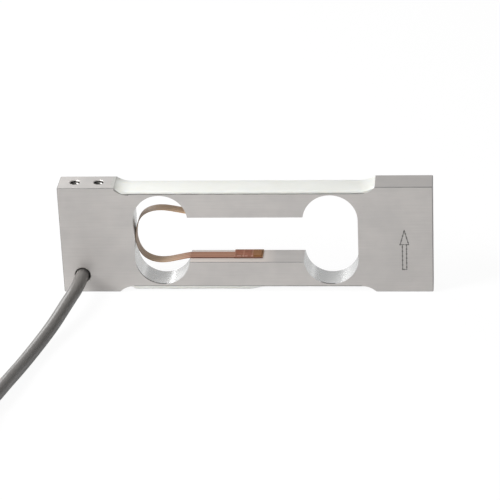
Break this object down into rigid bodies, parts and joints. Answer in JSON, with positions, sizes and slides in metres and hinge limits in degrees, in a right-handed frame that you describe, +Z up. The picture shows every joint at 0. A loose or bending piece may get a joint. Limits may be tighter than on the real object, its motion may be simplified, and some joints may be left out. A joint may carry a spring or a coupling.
{
  "type": "weighing load cell",
  "caption": "Slim single-point load cell: machined aluminium bar with a dog-bone cut-out, sealed strain gauges, a flexible circuit in its bore and a thin coiled cable.",
  "frame": {"origin": "bottom centre of the metal bar, which stands on the lower faces of its two end blocks", "axes": "+X along the bar away from the cable, +Y through its thickness away from the cable's side, +Z up towards the fixed end's tapped holes"},
  "size_m": [0.1312, 0.0876, 0.0254],
  "materials": {
    "milled_aluminium": "fine milled, matte",
    "white_silicone": "soft satin silicone sealant",
    "gauge_foil": "etched foil on an amber carrier",
    "terminal_board": "glass-epoxy board with tinned pads",
    "enamelled_wire": "enamelled copper",
    "dark_epoxy": "cured potting",
    "polyimide": "brown polyimide film with copper tracks under it",
    "resistor_foil": "dark foil element",
    "grey_jacket": "satin grey cable jacket",
    "nylon_tie": "moulded nylon",
    "shrink_sleeve": "heat-shrink sleeve",
    "tinned_copper": "tinned strands",
    "red_insulation": "smooth insulation",
    "black_insulation": "smooth insulation",
    "green_insulation": "smooth insulation",
    "white_insulation": "smooth insulation"
  },
  "bodies": {
    "root": {"black_core": "black_insulation", "black_lead": "black_insulation", "black_lead_tip": "tinned_copper", "bottom_sealant": "white_silicone", "cable_coil": "grey_jacket", "cable_lead": "grey_jacket", "cable_potting": "dark_epoxy", "cable_tail": "grey_jacket", "coil_tie": "nylon_tie", "compensation_resistor": "resistor_foil", "elastic_body": "milled_aluminium", "end_sleeve": "shrink_sleeve", "feed_wire_lower_1": "enamelled_wire", "feed_wire_lower_2": "enamelled_wire", "feed_wire_lower_3": "enamelled_wire", "feed_wire_upper_1": "enamelled_wire", "feed_wire_upper_2": "enamelled_wire", "feed_wire_upper_3": "enamelled_wire", "flex_circuit": "polyimide", "gauge_wire_lower_left_back": "enamelled_wire", "gauge_wire_lower_left_front": "enamelled_wire", "gauge_wire_lower_right_back": "enamelled_wire", "gauge_wire_lower_right_front": "enamelled_wire", "gauge_wire_upper_left_back": "enamelled_wire", "gauge_wire_upper_left_front": "enamelled_wire", "gauge_wire_upper_right_back": "enamelled_wire", "gauge_wire_upper_right_front": "enamelled_wire", "green_core": "green_insulation", "green_lead": "green_insulation", "green_lead_tip": "tinned_copper", "red_core": "red_insulation", "red_lead": "red_insulation", "red_lead_tip": "tinned_copper", "shield_pigtail": "tinned_copper", "strain_gauge_lower_left": "gauge_foil", "strain_gauge_lower_right": "gauge_foil", "strain_gauge_upper_left": "gauge_foil", "strain_gauge_upper_right": "gauge_foil", "terminal_strip_lower": "terminal_board", "terminal_strip_upper": "terminal_board", "top_sealant": "white_silicone", "white_core": "white_insulation", "white_lead": "white_insulation", "white_lead_tip": "tinned_copper"}
  },
  "joints": []
}
